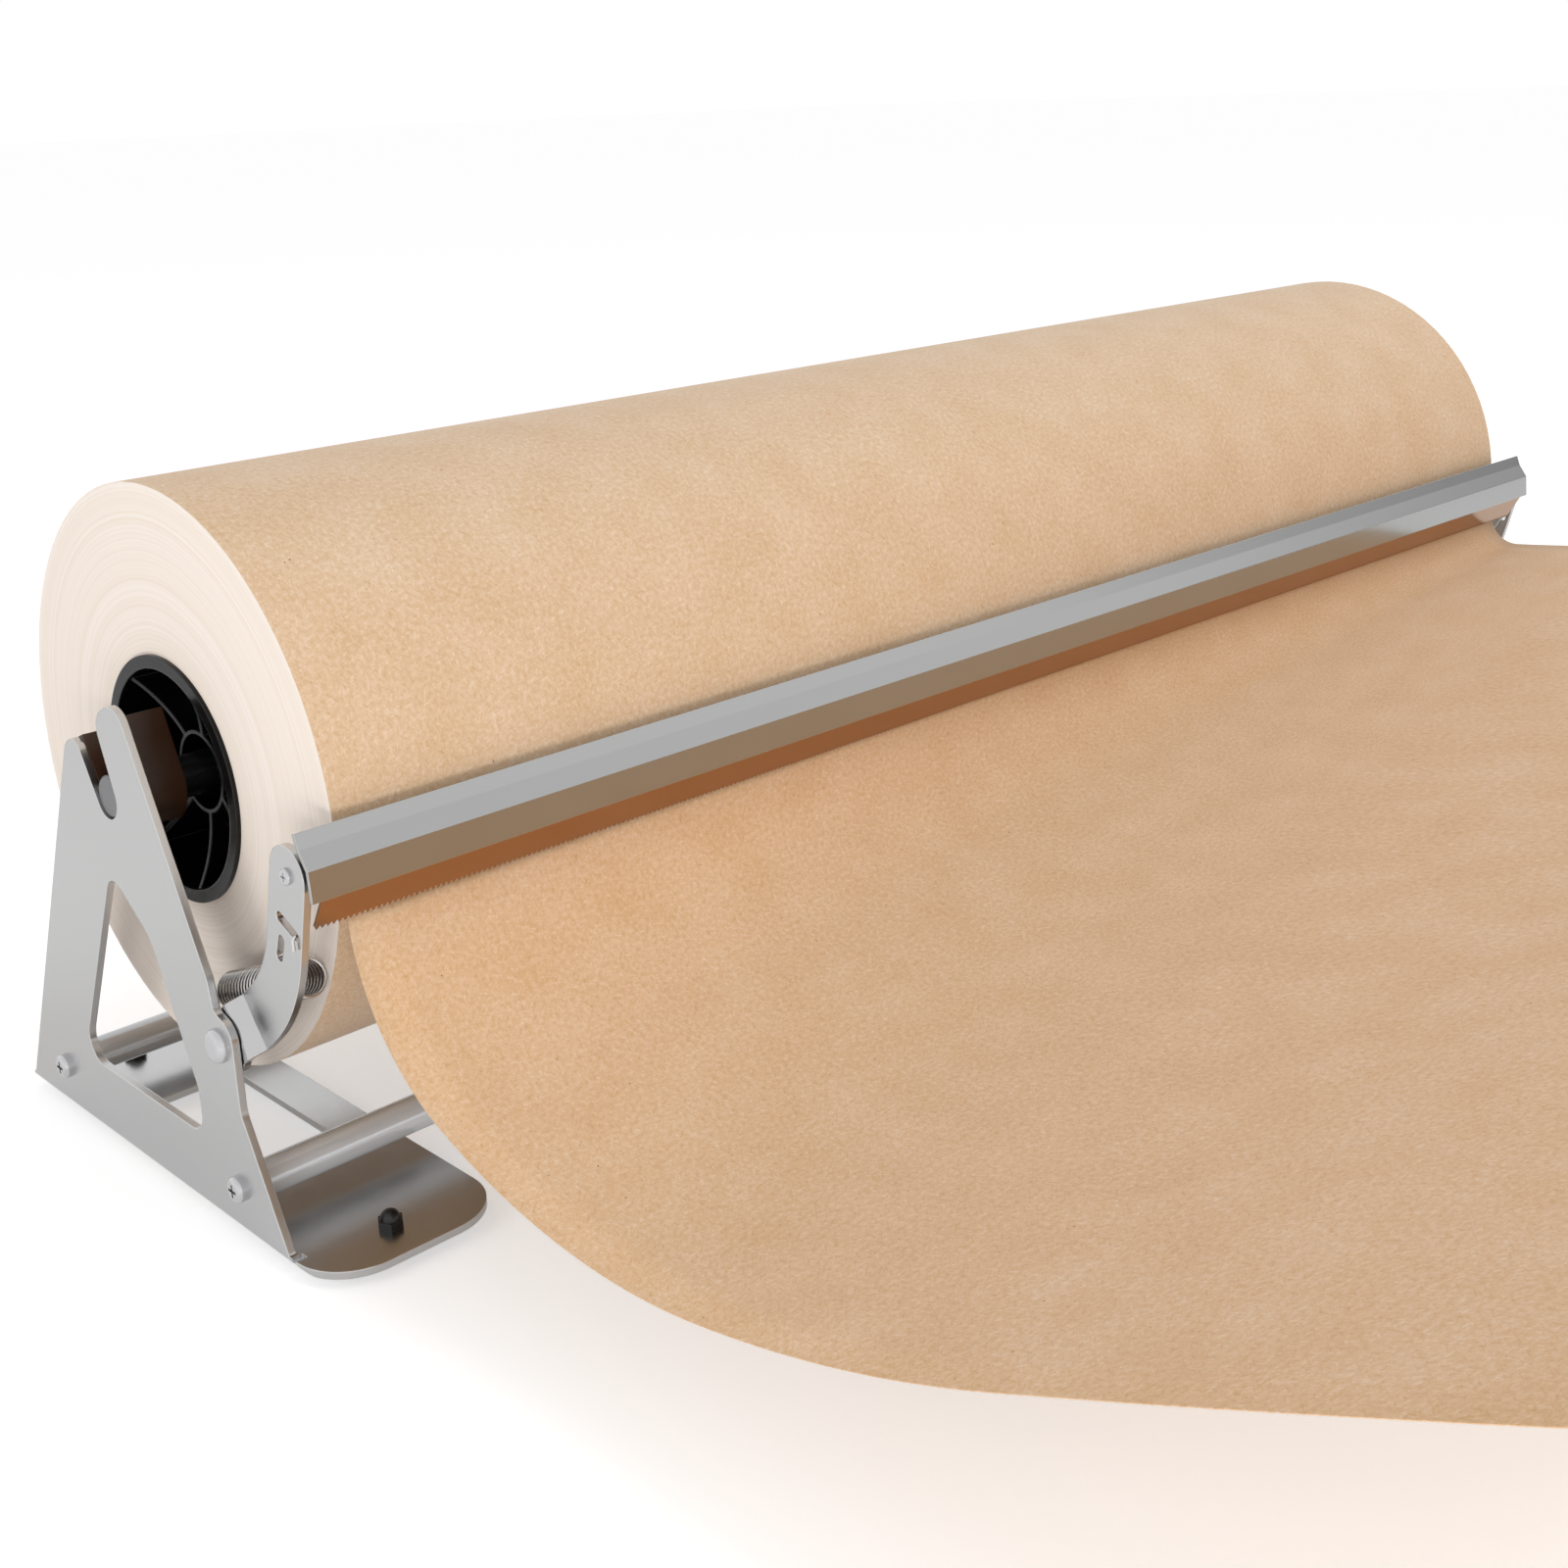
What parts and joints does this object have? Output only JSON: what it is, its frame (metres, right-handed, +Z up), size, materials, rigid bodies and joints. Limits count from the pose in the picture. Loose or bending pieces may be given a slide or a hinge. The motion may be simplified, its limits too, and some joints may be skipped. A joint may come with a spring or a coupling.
{
  "type": "paper roll dispenser",
  "caption": "counter dispenser with folded end frames and tie bars that carries a wide paper roll on an axle, with a sprung, swinging tear-off bar and serrated blade over the drawn sheet",
  "frame": {"origin": "on the counter, under the middle of the box round the frame, roll and drawn sheet", "axes": "+X along the roll to the right, +Y to the back, away from the drawn sheet, +Z up"},
  "size_m": [0.9856, 0.8356, 0.3092],
  "materials": {
    "satin_sheet": "satin plated steel sheet",
    "polished_bar": "polished bar",
    "plated_screw": "bright plated hardware",
    "axle_steel": "drawn steel",
    "blade_steel": "ground spring steel",
    "spring_wire": "bright drawn wire",
    "black_moulding": "glossy black moulding",
    "foot_rubber": "matt rubber",
    "core_board": "spiral wound board",
    "kraft_paper": "brown kraft paper, matt"
  },
  "bodies": {
    "frame": {"left_end_frame": "satin_sheet", "right_end_frame": "satin_sheet", "front_tie_bar": "polished_bar", "rear_tie_bar": "polished_bar", "tie_bar_screws": "plated_screw", "rubber_feet": "foot_rubber", "foot_studs": "plated_screw", "foot_cap_nuts": "black_moulding", "left_axle_saddle": "black_moulding", "right_axle_saddle": "black_moulding", "left_pivot_rivet": "plated_screw", "right_pivot_rivet": "plated_screw", "left_spring_post": "axle_steel", "right_spring_post": "axle_steel", "left_arm_spring": "spring_wire", "right_arm_spring": "spring_wire", "paper_sheet": "kraft_paper"},
    "roll": {"axle_rod": "axle_steel", "left_core_plug": "black_moulding", "right_core_plug": "black_moulding", "core_tube": "core_board", "paper_roll": "kraft_paper"},
    "cutter": {"cutter_bar": "satin_sheet", "serrated_blade": "blade_steel", "left_cutter_arm": "satin_sheet", "right_cutter_arm": "satin_sheet", "cutter_bar_screws": "plated_screw", "cutter_bar_nuts": "plated_screw"}
  },
  "joints": [
    {"name": "roll_spin", "type": "hinge", "parent": "frame", "child": "roll", "pos_m": [0, 0.28825, 0.1797], "axis": [1, 0, 0], "continuous": true},
    {"name": "cutter_swing", "type": "hinge", "parent": "frame", "child": "cutter", "pos_m": [0, 0.21375, 0.0899], "axis": [1, 0, 0], "range_deg": [0, 35], "stiffness_Nm_per_rad": 1.6, "springref_deg": -45.84, "deforming": ["left_arm_spring", "right_arm_spring", "paper_sheet"]}
  ]
}
